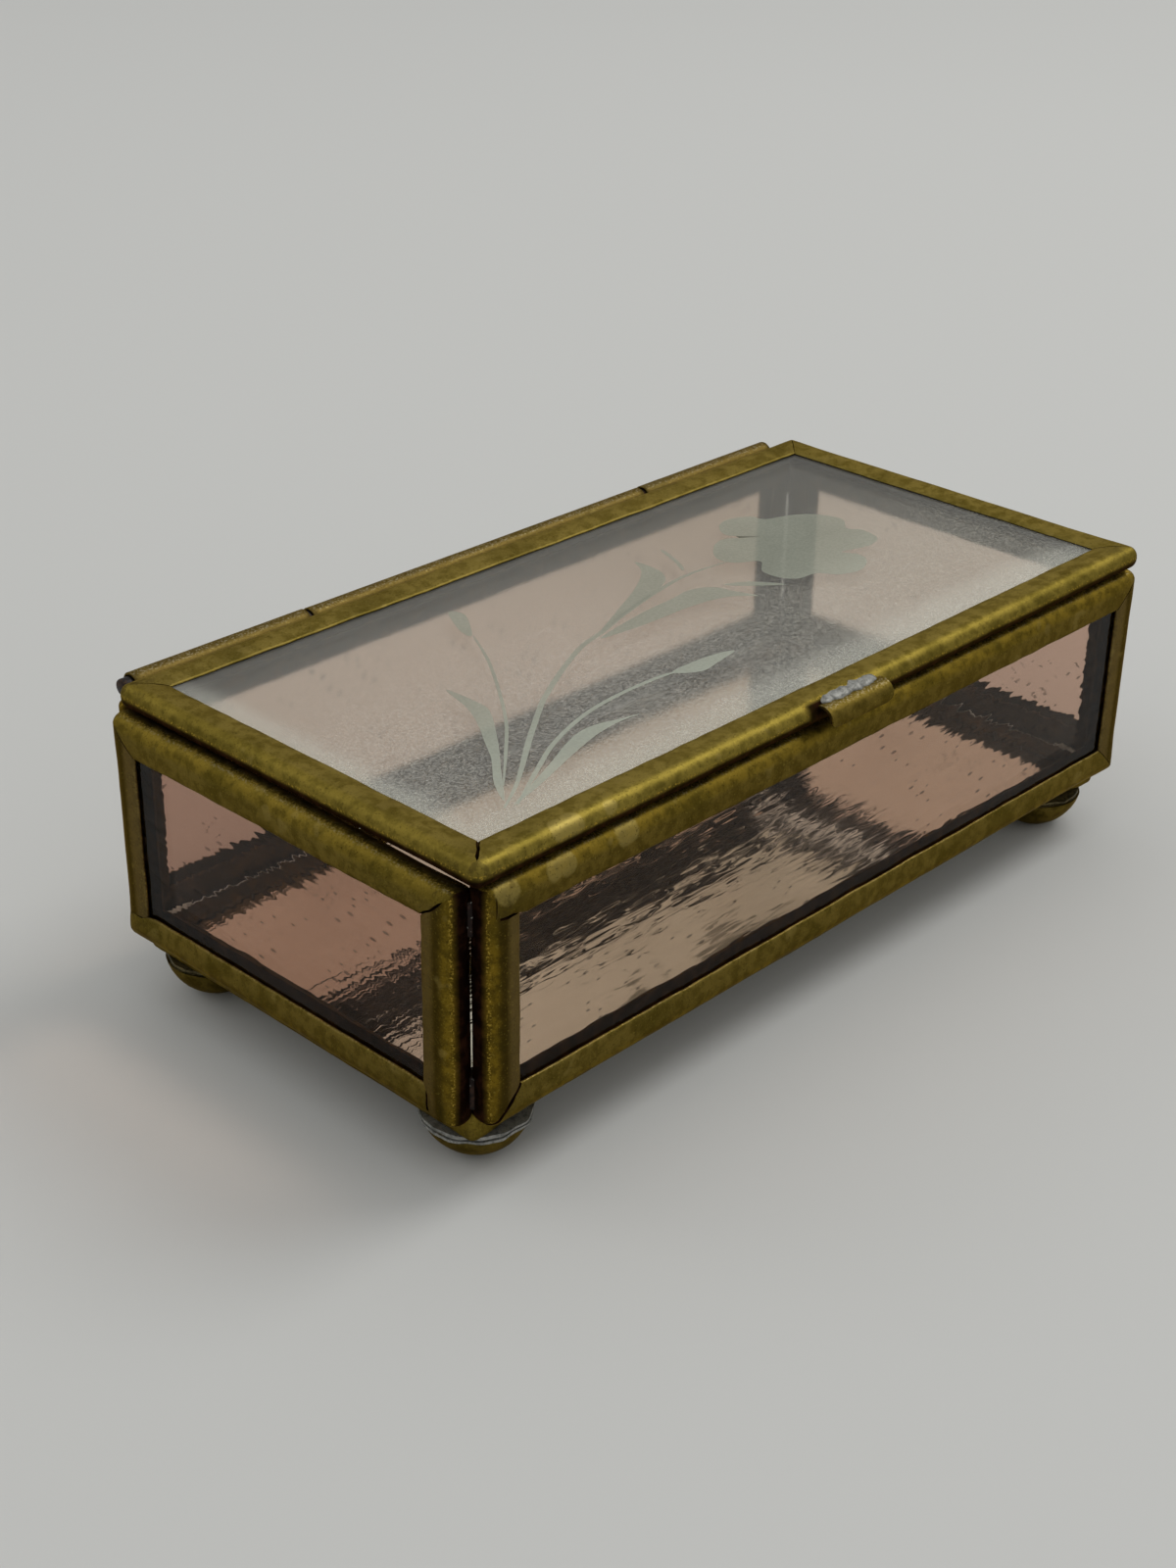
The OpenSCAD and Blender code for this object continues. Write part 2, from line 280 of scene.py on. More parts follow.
def hand_push(ref, seed):
    """Push of a point, as nothing folded by hand is straight."""
    return wobble(ref, 0.06, 9.0, seed) + wobble(ref, 0.018, 1.7, seed + 3)


def ragged_cut(ref, seed):
    """How far the sheet's cut edge strays at a point."""
    ragged = noise.noise(ref / 2.3 + Vector((seed, 0, 0))) * 0.08
    return ragged + noise.noise(ref / 0.7 + Vector((seed, 4, 0))) * 0.03


def channel_column(bm, layers, plan, side, origin, profiles, station):
    """The ring of vertices round the folded sheet at one station along a side."""
    tame, boxy = profiles
    kind, value = station
    square = max(plan["square"][side.index],
                 plan["corner"] * near_corner(kind, value, side.length))
    column = []
    for lining in (0, 1):
        for soft, hard, face in zip(tame[lining], boxy[lining], tame[0]):
            d, h = (s + (t - s) * square for s, t in zip(soft[:2], hard[:2]))
            band = soft[2]
            stops = side_stops(plan, side, d, band, lining)
            along, inward = along_side(kind, value, d, side.length, stops)
            inward = tongue_depth(inward, side, along)
            flat = side.corner + side.way * along + side.inward * inward
            if band > 0:
                h += tongue_lift(inward, side, along)
            foot = origin + plan["u"] * flat.x + plan["v"] * flat.y
            ref = foot + plan["out"] * face[1]
            push = hand_push(ref, side.seed)
            if plan["sag"]:
                push += plan["sag"](ref)
            edge = max(0.0, (face[0] - 3.0) / 0.8)
            stray = side.way_in * ragged_cut(ref, side.seed) * edge
            vert = bm.verts.new(foot + plan["out"] * h + push + stray)
            # Painted shadow in the hollow under the lift tab
            tab_shadow = plan["tab_shadow"](ref, band) if plan["tab_shadow"] else 0.0
            vert[layers["band"]] = band
            vert[layers["reach"]] = min(along, side.length - along)
            # Painted shade: black on the sheet's lining, in the grooves, on faces towards the
            # inside and under the tab
            vert[layers["shade"]] = max(float(lining), shade_of(plan, band, side.index), tab_shadow)
            vert[layers["age"]] = plan["age"][side.index]
            column.append(vert)
    return column


def cap_slits(bm, columns, outer, side, opened, shade):
    """Cut faces of the sheet where a mitre slit or the seam opens, black with painted shade."""
    count = len(outer)
    for column, c in ((columns[0], side.ends[0]), (columns[-1], side.ends[1])):
        rim = {}
        for i in range(count - 1):
            depth = min(outer[i][0], outer[i + 1][0])
            if c in opened or depth > LAND + 0.12:
                for j in (i, i + 1):
                    if j not in rim:
                        top, under = column[j].co, column[count + j].co
                        rim[j] = bm.verts.new(top.lerp(under, 0.02) + Vector((0, 0, 0.001)))
                        rim[j][shade] = 1.0
                bm.faces.new((rim[i], rim[i + 1], column[count + i + 1], column[count + i]))


def channel_frame(plan, origin, size, thickness, seed):
    """One folded channel round a pane: four sides that meet at mitres or laps."""
    profiles = [channel_profile(thickness, plan["crown"], square) for square in (0.0, 1.0)]
    outer = profiles[0][0]
    count = len(outer)
    ways = [Vector((1, 0)), Vector((0, 1)), Vector((-1, 0)), Vector((0, -1))]
    width, height = size
    corners = [Vector((0, 0)), Vector((width, 0)), Vector((width, height)), Vector((0, height))]
    bm = bmesh.new()
    layers = add_layers(bm)
    for index, corner in enumerate(corners):
        ends = (index, (index + 1) % 4)
        inward = ways[ends[1]]
        side = SimpleNamespace(index=index, seed=seed, ends=ends, corner=corner,
                               length=size[index % 2], way=ways[index], inward=inward,
                               way_in=plan["u"] * inward.x + plan["v"] * inward.y,
                               laps=[plan["laps"].get((c, index), 0) for c in ends])
        columns = [channel_column(bm, layers, plan, side, origin, profiles, station)
                   for station in side_stations(side.length)]
        for a, b in zip(columns, columns[1:]):
            add_strip(bm, a[:count] + a[:count - 1:-1], b[:count] + b[:count - 1:-1])
        cap_slits(bm, columns, outer, side, plan["open"], layers["shade"])
    bmesh.ops.remove_doubles(bm, verts=bm.verts, dist=WELD)
    return bm


# -------- turned pieces
def lathe(profile, centre, axis, turns, amount, size, seed):
    """Closed profile of (radius, height) points turned round an axis through centre."""
    side = axis.orthogonal().normalized()
    other = axis.cross(side)
    bm = bmesh.new()
    rings = []
    for i in range(turns):
        a = 2 * math.pi * i / turns
        way = side * math.cos(a) + other * math.sin(a)
        ring = []
        for radius, height in profile:
            p = centre + way * radius + axis * height
            ring.append(bm.verts.new(p + wobble(p, amount, size, seed)))
        rings.append(ring)
    for a, b in zip(rings, rings[1:] + rings[:1]):
        add_strip(bm, a, b)
    bmesh.ops.remove_doubles(bm, verts=bm.verts, dist=WELD)
    return bm


def run_between(soft, length):
    """Heights about 0.8 mm apart between two softened rims."""
    steps = max(2, round(length / 0.8))
    return [soft + (length - 2 * soft) * i / steps for i in range(steps + 1)]


def tube_profile(outer, inner, length):
    """Section of a cut tube with softened rims."""
    soft = 0.08
    run = run_between(soft, length)
    points = [(inner + soft, 0), (outer - soft, 0)]
    points += [(outer, h) for h in run]
    points += [(outer - soft, length), (inner + soft, length)]
    points += [(inner, h) for h in reversed(run)]
    return points


def rod_profile(radius, length):
    """Section of a solid rod with worn ends."""
    soft = 0.25
    points = [(0, 0), (radius - soft, 0), (radius - 0.07, 0.08)]
    points += [(radius, h) for h in run_between(soft, length)]
    points += [(radius - 0.07, length - 0.08), (radius - soft, length), (0, length)]
    return points


def dome_profile(rim, flat, height, wall):
    """Shell of a pressed dome foot from its flat up to its open rim."""
    centre = (height ** 2 + rim ** 2 - flat ** 2) / (2 * height)
    radius = math.hypot(centre, flat)
    first = math.asin(flat / radius)
    last = math.asin(min(1, rim / radius))
    if centre <= height:
        last = math.pi - last
    outer = [(0, 0), (flat * 0.6, 0)]
    steps = 22
    for i in range(steps + 1):
        a = first + (last - first) * i / steps
        outer.append((radius * math.sin(a), centre - radius * math.cos(a)))
    inner = [(r - wall * min(1, r / rim + 0.3) * 0.9, h) for r, h in outer if h > wall]
    inner = [(max(0.1, r), h) for r, h in reversed(inner)]
    return outer + [(rim - 0.12, height)] + inner + [(0, wall)]


def mark(bm, age, band, inside=None):
    """Tells the brass how old a piece is, whether it looks like a round back (band 0) or a
    lip (band 0.7), and that faces inside it are black with painted shade."""
    layers = add_layers(bm)
    for vert in bm.verts:
        vert[layers["band"]] = band
        vert[layers["reach"]] = 9.0
        vert[layers["age"]] = age
        vert[layers["shade"]] = 1.0 if inside and inside(vert.co) else 0.0


# -------- node helpers
def set_inputs(tree, n, inputs):
    """Links each input to a socket or gives it a value. Colours are given without alpha."""
    for key, value in inputs.items():
        if isinstance(value, bpy.types.NodeSocket):
            tree.links.new(value, n.inputs[key])
        elif n.inputs[key].type == "RGBA":
            n.inputs[key].default_value = (*value, 1.0)
        else:
            n.inputs[key].default_value = value


def add(tree, kind, inputs=None, **settings):
    """A node with its settings and inputs."""
    n = tree.nodes.new(kind)
    for key, value in settings.items():
        setattr(n, key, value)
    set_inputs(tree, n, inputs or {})
    return n


def new_material(name):
    """A material with one Principled shader, as (material, tree, shader)."""
    material = bpy.data.materials.new(name)
    material.use_nodes = True
    tree = material.node_tree
    return material, tree, tree.nodes["Principled BSDF"]


def math_node(tree, kind, a, b=0.0):
    return add(tree, "ShaderNodeMath", {0: a, 1: b}, operation=kind).outputs[0]


def times(tree, a, b):
    return math_node(tree, "MULTIPLY", a, b)


def plus(tree, a, b):
    return math_node(tree, "ADD", a, b)


def minus(tree, a, b):
    return math_node(tree, "SUBTRACT", a, b)


def least(tree, a, b):
    return math_node(tree, "MINIMUM", a, b)


def vector_math(tree, kind, a, b):
    return add(tree, "ShaderNodeVectorMath", {0: a, 1: b}, operation=kind).outputs


def parts_of(tree, vector):
    return add(tree, "ShaderNodeSeparateXYZ", {0: vector}).outputs


def place_mm(tree):
    """Position on the piece in mm."""
    coord = add(tree, "ShaderNodeTexCoord").outputs["Object"]
    return add(tree, "ShaderNodeVectorMath", {0: coord, "Scale": 1 / MM},
               operation="SCALE").outputs[0]


def facing_up(tree):
    """1 on what faces up, -1 on what faces down."""
    return parts_of(tree, add(tree, "ShaderNodeNewGeometry").outputs["Normal"])[2]


def grain(tree, place, size, detail=4.0, rough=0.55, twist=0.0):
    """Noise from 0 to 1 with features of about that size in mm."""
    return add(tree, "ShaderNodeTexNoise", {"Vector": place, "Scale": 1 / size, "Detail": detail,
                                            "Roughness": rough, "Distortion": twist}).outputs[0]


def stretched(tree, place, scale):
    """Position scaled by axis, for streaks."""
    return vector_math(tree, "MULTIPLY", place, scale)[0]


def span(tree, value, low, high, to_low=0.0, to_high=1.0):
    """value from low to high, smoothly mapped and clamped."""
    return add(tree, "ShaderNodeMapRange", {"Value": value, "From Min": low, "From Max": high,
                                            "To Min": to_low, "To Max": to_high},
               interpolation_type="SMOOTHSTEP").outputs[0]


def mixed(tree, factor, a, b):
    """Colour a turning into colour b."""
    return add(tree, "ShaderNodeMix", {0: factor, 6: a, 7: b}, data_type="RGBA").outputs[2]


def attribute(tree, name):
    return add(tree, "ShaderNodeAttribute", attribute_name=name).outputs["Fac"]


def bumped(tree, shader, height, depth_mm, strength=1.0):
    bump = add(tree, "ShaderNodeBump", {"Height": height, "Distance": depth_mm * MM,
                                        "Strength": strength})
    tree.links.new(bump.outputs[0], shader.inputs["Normal"])


def lets_light_in(tree, shader, colour):
    """Lamps shine through the glass instead of casting a black shadow."""
    output = next(n for n in tree.nodes if n.type == "OUTPUT_MATERIAL")
    path = add(tree, "ShaderNodeLightPath")
    clear = add(tree, "ShaderNodeBsdfTransparent", {"Color": colour})
    mix = add(tree, "ShaderNodeMixShader", {0: path.outputs["Is Shadow Ray"],
                                            1: shader.outputs[0], 2: clear.outputs[0]})
    tree.links.new(mix.outputs[0], output.inputs["Surface"])


# -------- aged brass
# Places on the front rails, rubbed bright by fingers and partly painted highlight: centre in mm
# and reach
RUBBED_AND_HIGHLIT = [((-41.9, -25.8, 35.3), 1.3), ((-40.4, -25.8, 35.3), 1.4), ((-35.7, -25.9, 35.2), 0.9),
          ((-48.6, -26.0, 31.9), 1.5), ((-42.8, -26.1, 31.5), 1.1), ((-41.3, -26.0, 31.7), 1.3),
          ((-33.5, -25.9, 32.0), 1.6)]


def brass_material(name):
    """Aged brass: gold on the lid, browner on the walls, black with painted shade in grooves and
    inside, and with painted highlight on some edges and rubbed places.
    """
    material, tree, shader = new_material(name)
    place = place_mm(tree)
    at = SimpleNamespace(place=place, age=attribute(tree, "age"),
                         shade=attribute(tree, "shade"), reach=attribute(tree, "reach"),
                         spread=math_node(tree, "ABSOLUTE", attribute(tree, "band")),
                         mottle=grain(tree, place, 1.3, 5.0, 0.6),
                         dust=grain(tree, place, 0.22, 3.0, 0.6))
    colour = tarnished(tree, at)
    for layer in (darkened_stiles, rubbed_and_highlit, dusty_and_shaded, sooty, shade_and_patina):
        colour = layer(tree, at, colour)
    height = times(tree, plus(tree, times(tree, at.dust, 0.5), at.mottle),
                   span(tree, at.shade, 0.0, 1.0, 1.0, 0.2))
    bumped(tree, shader, height, 0.035, 0.5)
    # The tint lets tarnish keep its colour where it is seen at a flat angle
    set_inputs(tree, shader, {
        "Base Color": colour, "Metallic": 1.0, "Specular Tint": (0.88, 0.72, 0.50),
        "Roughness": plus(tree, span(tree, at.mottle, 0.35, 0.65, 0.43, 0.56),
                          times(tree, at.shade, 0.25))})
    return material


def tarnished(tree, at):
    """Flat lips and round back, each from clean to old, with darker and greener clouds."""
    flat = mixed(tree, at.age, (0.265, 0.203, 0.050), (0.100, 0.060, 0.005))
    back = mixed(tree, at.age, (0.28, 0.213, 0.040), (0.225, 0.138, 0.008))
    colour = mixed(tree, span(tree, at.spread, 0.36, 0.52, 1.0, 0.0), flat, back)
    darker = mixed(tree, at.age, (0.12, 0.090, 0.014), (0.042, 0.024, 0.003))
    colour = mixed(tree, span(tree, at.mottle, 0.37, 0.60, 0.66, 0.0), colour, darker)
    cloud = grain(tree, at.place, 6.0, 3.0, 0.5)
    return mixed(tree, span(tree, cloud, 0.50, 0.68, 0.0, 0.5), colour, (0.076, 0.058, 0.008))


def darkened_stiles(tree, at, colour):
    """Old stiles are darker along the bend and grey on their lips."""
    from_bend = math_node(tree, "ABSOLUTE", minus(tree, at.spread, 0.5))
    bend = times(tree, span(tree, from_bend, 0.04, 0.2, 1.0, 0.0),
                 span(tree, at.age, 0.6, 0.8, 0.0, 0.7))
    colour = mixed(tree, bend, colour, (0.030, 0.020, 0.005))
    grey = times(tree, span(tree, at.age, 0.6, 0.8, 0.0, 0.5),
                 span(tree, at.spread, 0.52, 0.75))
    return mixed(tree, grey, colour, (0.19, 0.138, 0.064))


def rubbed_and_highlit(tree, at, colour):
    """Lip edges, proud spots and the places where fingers hold the front rails, rubbed bright;
    the lip edges and the finger places are partly painted highlight.
    """
    # Painted highlight along the lip edges, partly real rubbing
    edge = times(tree, span(tree, at.spread, 0.92, 0.99), span(tree, at.mottle, 0.42, 0.6))
    edge = times(tree, edge, span(tree, at.age, 0.1, 0.6, 0.05, 0.3))
    colour = mixed(tree, edge, colour, (0.30, 0.23, 0.08))
    proud = span(tree, grain(tree, at.place, 3.6, 2.0), 0.63, 0.69, 0.0, 0.3)
    colour = mixed(tree, proud, colour, (0.34, 0.26, 0.08))
    # Finger places on the front rails, rubbed bright and partly painted highlight
    nearest = 9.0
    for centre, reach in RUBBED_AND_HIGHLIT:
        away = vector_math(tree, "DISTANCE", at.place, centre)["Value"]
        nearest = least(tree, minus(tree, away, reach), nearest)
    uneven = plus(tree, nearest, times(tree, at.mottle, 0.9))
    return mixed(tree, span(tree, uneven, 0.15, 0.50, 0.42, 0.0), colour, (0.44, 0.345, 0.11))


def dusty_and_shaded(tree, at, colour):
    """Painted shade on what faces down, and pale dust lies on what faces up."""
    facing = facing_up(tree)
    # Painted shade: faces turned down are darker
    downward_shade = times(tree, span(tree, facing, 0.25, -0.35, 0.0, 0.55),
                  span(tree, at.mottle, 0.60, 0.42, 0.4, 1.0))
    colour = mixed(tree, downward_shade, colour, (0.030, 0.020, 0.004))
    settled = times(tree, span(tree, at.dust, 0.50, 0.36), span(tree, at.age, 0.1, 0.35))
    settled = times(tree, span(tree, facing, 0.75, 0.97, 0.0, 0.5), settled)
    return mixed(tree, settled, colour, (0.40, 0.36, 0.27))


def sooty(tree, at, colour):
    """Soot around the corners, and fine specks, dark or bare."""
    soot = times(tree, span(tree, at.reach, 1.5, 6.0, 1.0, 0.0),
                 span(tree, at.mottle, 0.48, 0.62))
    colour = mixed(tree, times(tree, soot, 0.6), colour, (0.045, 0.033, 0.010))
    colour = mixed(tree, span(tree, at.dust, 0.58, 0.68, 0.0, 0.55), colour,
                   (0.035, 0.026, 0.006))
    return mixed(tree, span(tree, at.dust, 0.40, 0.32, 0.0, 0.3), colour, (0.38, 0.30, 0.06))


def shade_and_patina(tree, at, colour):
    """Painted shade, reddish black in the grooves and brown black inside in the colours of the
    patina there, with painted highlight as gold specks at its border.
    """
    # Painted highlight: gold specks along the border of the painted shade
    highlit_border = times(tree, span(tree, at.shade, 0.01, 0.12), span(tree, at.shade, 0.55, 0.25))
    colour = mixed(tree, times(tree, highlit_border, span(tree, at.dust, 0.47, 0.40)), colour,
                   (0.48, 0.33, 0.05))
    blotch = span(tree, at.mottle, 0.42, 0.66)
    reddish = mixed(tree, blotch, (0.009, 0.0035, 0.0025), (0.042, 0.016, 0.008))
    brown = mixed(tree, blotch, (0.028, 0.016, 0.005), (0.085, 0.050, 0.017))
    shade_patina_colour = mixed(tree, span(tree, at.spread, 0.38, 0.52), reddish, brown)
    # Painted shade, in the patina's colours, wherever the shade layer says
    return mixed(tree, at.shade, colour, shade_patina_colour)


# -------- solder and rod
def solder_material(name, dark, pale):
    """Dull solder with dark cracks."""
    material, tree, shader = new_material(name)
    place = place_mm(tree)
    cells = add(tree, "ShaderNodeTexVoronoi", {"Vector": place, "Scale": 1.4, "Randomness": 1.0},
                feature="DISTANCE_TO_EDGE").outputs[0]
    mottle = grain(tree, place, 0.8, 5.0, 0.65, 0.5)
    cracks = times(tree, span(tree, cells, 0.01, 0.07, 0.8, 0.0), span(tree, mottle, 0.5, 0.65))
    colour = mixed(tree, span(tree, mottle, 0.35, 0.60), dark, pale)
    colour = mixed(tree, times(tree, cracks, 0.8), colour, (0.03, 0.027, 0.02))
    set_inputs(tree, shader, {"Base Color": colour, "Metallic": 0.6,
                              "Roughness": span(tree, mottle, 0.3, 0.7, 0.62, 0.48)})
    bumped(tree, shader, minus(tree, mottle, cracks), 0.05, 0.5)
    return material


def slit_solder_material():
    """Solder tacks between the walls, black with painted shade for the slits there, with
    red-brown grime and a few bare specks.
    """
    material, tree, shader = new_material("solder_in_slit")
    place = place_mm(tree)
    mottle = grain(tree, place, 0.9, 4.0, 0.6)
    speck = grain(tree, place, 0.35, 2.0, 0.5)
    colour = mixed(tree, span(tree, mottle, 0.4, 0.7), (0.010, 0.005, 0.004),
                   (0.05, 0.022, 0.012))
    colour = mixed(tree, span(tree, speck, 0.66, 0.72), colour, (0.30, 0.30, 0.27))
    set_inputs(tree, shader, {"Base Color": colour, "Metallic": 0.7,
                              "Roughness": span(tree, mottle, 0.3, 0.7, 0.65, 0.45)})
    bumped(tree, shader, mottle, 0.08, 0.8)
    return material


def rod_material():
    """Hinge rod, black with tarnish and brown specks."""
    material, tree, shader = new_material("rod")
    mottle = grain(tree, place_mm(tree), 0.9, 5.0, 0.65)
    colour = mixed(tree, span(tree, mottle, 0.45, 0.7), (0.03, 0.026, 0.026),
                   (0.10, 0.055, 0.03))
    set_inputs(tree, shader, {"Base Color": colour, "Metallic": 0.9,
                              "Roughness": span(tree, mottle, 0.3, 0.7, 0.35, 0.6)})
    bumped(tree, shader, mottle, 0.03, 0.6)
    return material


# -------- glass, mirror and ground
def wall_glass_material(name, tint, along, seed):
    """Old rolled glass with a warm tint, a fine ripple along it and tiny dark seeds."""
    material, tree, shader = new_material(name)
    moved = vector_math(tree, "ADD", place_mm(tree), (seed * 31.0, seed * 17.0, seed))[0]
    slow = grain(tree, moved, 16.0, 1.0, 0.4)
    long_way = tuple(0.22 if along[i] else 1.0 for i in range(3))
    ripple = grain(tree, stretched(tree, moved, long_way), 1.0, 1.0, 0.4)
    colour = mixed(tree, slow, [c * 0.96 for c in tint], [min(1, c * 1.03) for c in tint])
    colour = with_seeds(tree, colour, moved, along)
    set_inputs(tree, shader, {"Base Color": colour, "Transmission Weight": 1.0,
                              "Roughness": 0.02, "IOR": 1.2, "Specular IOR Level": 0.3,
                              "Specular Tint": (1.0, 0.86, 0.68)})
    bumped(tree, shader, plus(tree, times(tree, slow, 1.5), ripple), 0.055)
    lets_light_in(tree, shader, [math.sqrt(c) for c in tint])
    return material


def with_seeds(tree, colour, place, along):
    """The colour with two sizes of small dark seeds, drawn out along the pane."""
    parts = parts_of(tree, place)
    length = parts[0] if along[0] else parts[1]
    flat = add(tree, "ShaderNodeCombineXYZ", {0: times(tree, length, 0.4), 1: parts[2]})
    for scale, size, few in ((0.26, 0.060, 0.3), (0.55, 0.080, 0.6)):
        seeds = add(tree, "ShaderNodeTexVoronoi", {"Vector": flat.outputs[0], "Scale": scale},
                    feature="F1", voronoi_dimensions="2D").outputs
        chance = add(tree, "ShaderNodeSeparateColor", {0: seeds[1]}).outputs[0]
        dark = times(tree, span(tree, seeds[0], size * 0.5, size, 0.8, 0.0),
                     span(tree, chance, few, few + 0.2))
        colour = mixed(tree, dark, colour, (0.03, 0.016, 0.01))
    return colour


def lid_glass_material():
    """Thin clear glass, faintly frosted, more so along its edges."""
    material, tree, shader = new_material("lid_glass")
    place = place_mm(tree)
    low, high = low_mm("lid_frame"), high_mm("lid_frame")
    parts = parts_of(tree, place)
    from_left = minus(tree, parts[0], low.x + LIP)
    from_right = minus(tree, high.x - LIP, parts[0])
    from_front = minus(tree, parts[1], low.y + LIP)
    from_rear = minus(tree, high.y - LIP, parts[1])
    edge = least(tree, least(tree, from_left, from_right), least(tree, from_front, from_rear))
    cloud = grain(tree, place, 5.0, 3.0, 0.6)
    speck = grain(tree, place, 0.27, 2.0, 0.6)
    rim = span(tree, minus(tree, edge, times(tree, cloud, 1.5)), -0.6, 1.6, 0.35, 0.0)
    wide = least(tree, from_front, times(tree, from_left, 1.6))
    fringe = span(tree, minus(tree, wide, times(tree, cloud, 4.0)), -2.0, 6.0, 1.0, 0.0)
    frost = math_node(tree, "MAXIMUM", rim, fringe)
    # The ground shows as a grain, most of all in the front half
    strength = times(tree, span(tree, from_front, 12.0, 36.0, 0.16, 0.03),
                     span(tree, facing_up(tree), 0.1, 0.5))
    grainy = times(tree, span(tree, speck, 0.42, 0.66), strength)
    haze = plus(tree, span(tree, frost, 0.0, 1.0, 0.04, 0.20), grainy)
    # Painted light: the glass is clearer on the left half and darker on the right half
    clear = mixed(tree, span(tree, from_left, 25.0, 80.0), (0.87, 0.85, 0.79),
                  (0.75, 0.73, 0.655))
    rough = plus(tree, span(tree, from_front, 12.0, 36.0, 0.065, 0.10),
                 times(tree, frost, 0.05))
    set_inputs(tree, shader, {"Base Color": mixed(tree, frost, clear, (0.765, 0.765, 0.695)),
                              "Transmission Weight": minus(tree, 1.0, haze),
                              "Roughness": rough, "IOR": 1.22, "Specular IOR Level": 0.3})
    bumped(tree, shader, speck, 0.006, 0.3)
    lets_light_in(tree, shader, (0.86, 0.86, 0.82))
    return material


def mirror_material():
    """Old mirror glass with a wavy face that draws reflections out into streaks."""
    material, tree, shader = new_material("mirror")
    place = place_mm(tree)
    waves = grain(tree, stretched(tree, place, (0.14, 1.4, 1.0)), 1.1, 2.0, 0.45)
    slow = grain(tree, place, 14.0, 2.0, 0.5)
    spots = grain(tree, place, 0.5, 4.0, 0.7)
    colour = mixed(tree, span(tree, slow, 0.3, 0.7), (0.76, 0.72, 0.63), (0.83, 0.80, 0.71))
    colour = mixed(tree, span(tree, spots, 0.68, 0.78, 0.0, 0.7), colour, (0.12, 0.09, 0.07))
    set_inputs(tree, shader, {"Base Color": colour, "Metallic": 1.0,
                              "Roughness": span(tree, slow, 0.3, 0.7, 0.055, 0.085)})
    bumped(tree, shader, plus(tree, times(tree, slow, 2.0), waves), 0.045)
    return material


def etched_material():
    """Ground surface of the etched drawing: a matt grey-green veil, darker towards the rear."""
    material, tree, shader = new_material("etched_glass")
    place = place_mm(tree)
    speck = grain(tree, place, 0.3, 4.0, 0.7)
    cloud = grain(tree, place, 4.0, 2.0, 0.5)
    far = span(tree, parts_of(tree, place)[1], CORNER.y + 8.0, CORNER.y + 24.0)
    colour = mixed(tree, far, (0.47, 0.50, 0.42), (0.31, 0.325, 0.265))
    colour = mixed(tree, span(tree, cloud, 0.3, 0.7, 0.0, 0.25), colour, (0.40, 0.415, 0.34))
    set_inputs(tree, shader, {"Base Color": colour, "Roughness": 0.85,
                              "Specular IOR Level": 0.2,
                              "Alpha": span(tree, speck, 0.3, 0.7, 0.66, 0.80)})
    return material


def ground_material():
    """Plain pale paper with faint, broad clouds."""
    material, tree, shader = new_material("ground")
    coord = add(tree, "ShaderNodeTexCoord").outputs["Object"]
    slow = add(tree, "ShaderNodeTexNoise", {"Vector": coord, "Scale": 1.6, "Detail": 2.0})
    colour = mixed(tree, slow.outputs[0], (0.62, 0.625, 0.61), (0.66, 0.665, 0.655))
    set_inputs(tree, shader, {"Base Color": colour, "Roughness": 0.9,
                              "Specular IOR Level": 0.1})
    return material


BRASS = brass_material("aged_brass")
SOLDER = solder_material("solder", (0.16, 0.16, 0.148), (0.36, 0.36, 0.335))
OLD_SOLDER = solder_material("solder_tarnished", (0.045, 0.036, 0.014), (0.15, 0.12, 0.05))
SLIT_SOLDER = slit_solder_material()
ROD = rod_material()


# -------- the six frames
# Corners and sides count from the frame's low corner, along u first. laps are keyed by
# (corner, side); cuts are the slits' widths; open are corners cut through to the edge;
# groove is where along the band the painted shade starts and ends; slit is the side at the
# near corner's slit, where the painted shade is wider; age is each side's tarnish; corner is
# how square the back is at the corners.
WALL = dict(body="box", v=Z, laps={}, groove=(0.1, -0.1), slit=None, crown=0.16,
            square=(0, 0, 0, 0), corner=0.2, sag=None, tab_shadow=None)
FRAMES = {
    "front_frame": WALL | dict(u=X, out=-Y, open=(0,), cuts=(0.40, 0.1, 0.12, 0.26),
                               laps={(3, 2): 1, (3, 3): -1}, groove=(0.16, -0.1), slit=3,
                               age=(0.45, 0.8, 0.55, 0.8)),
    "rear_frame": WALL | dict(u=X, out=Y, open=(1,), cuts=(0.1, 0.2, 0.12, 0.1),
                              age=(0.5, 0.8, 0.5, 0.8)),
    "left_frame": WALL | dict(u=Y, out=-X, open=(), cuts=(0.2, 0.1, 0.12, 0.30),
                              laps={(0, 3): 1, (0, 0): -1, (1, 0): 1, (1, 1): -1},
                              groove=(0.16, -0.1), slit=3, age=(0.4, 0.8, 0.4, 0.75),
                              sag=sag_at_slit),
    "right_frame": WALL | dict(u=Y, out=X, open=(0,), cuts=(0.2, 0.1, 0.1, 0.12),
                               age=(0.5, 0.8, 0.5, 0.8)),
    "base_frame": WALL | dict(u=X, v=Y, out=-Z, open=(2,), cuts=(0.1, 0.1, 0.2, 0.1),
                              groove=(-0.3, -0.48), age=(0.3, 0.4, 0.4, 0.3),
                              crown=0.0, square=(0.1, 0.1, 0.1, 0.75), corner=0.9),
    "lid_frame": WALL | dict(body="lid", u=X, v=Y, out=Z, open=(), cuts=(0.30, 0.1, 0.1, 0.12),
                             groove=(0.05, -0.09), age=(0.0, 0.1, 0.15, 0.1),
                             crown=0.3, corner=0.15, tab_shadow=shadow_under_tab),
}


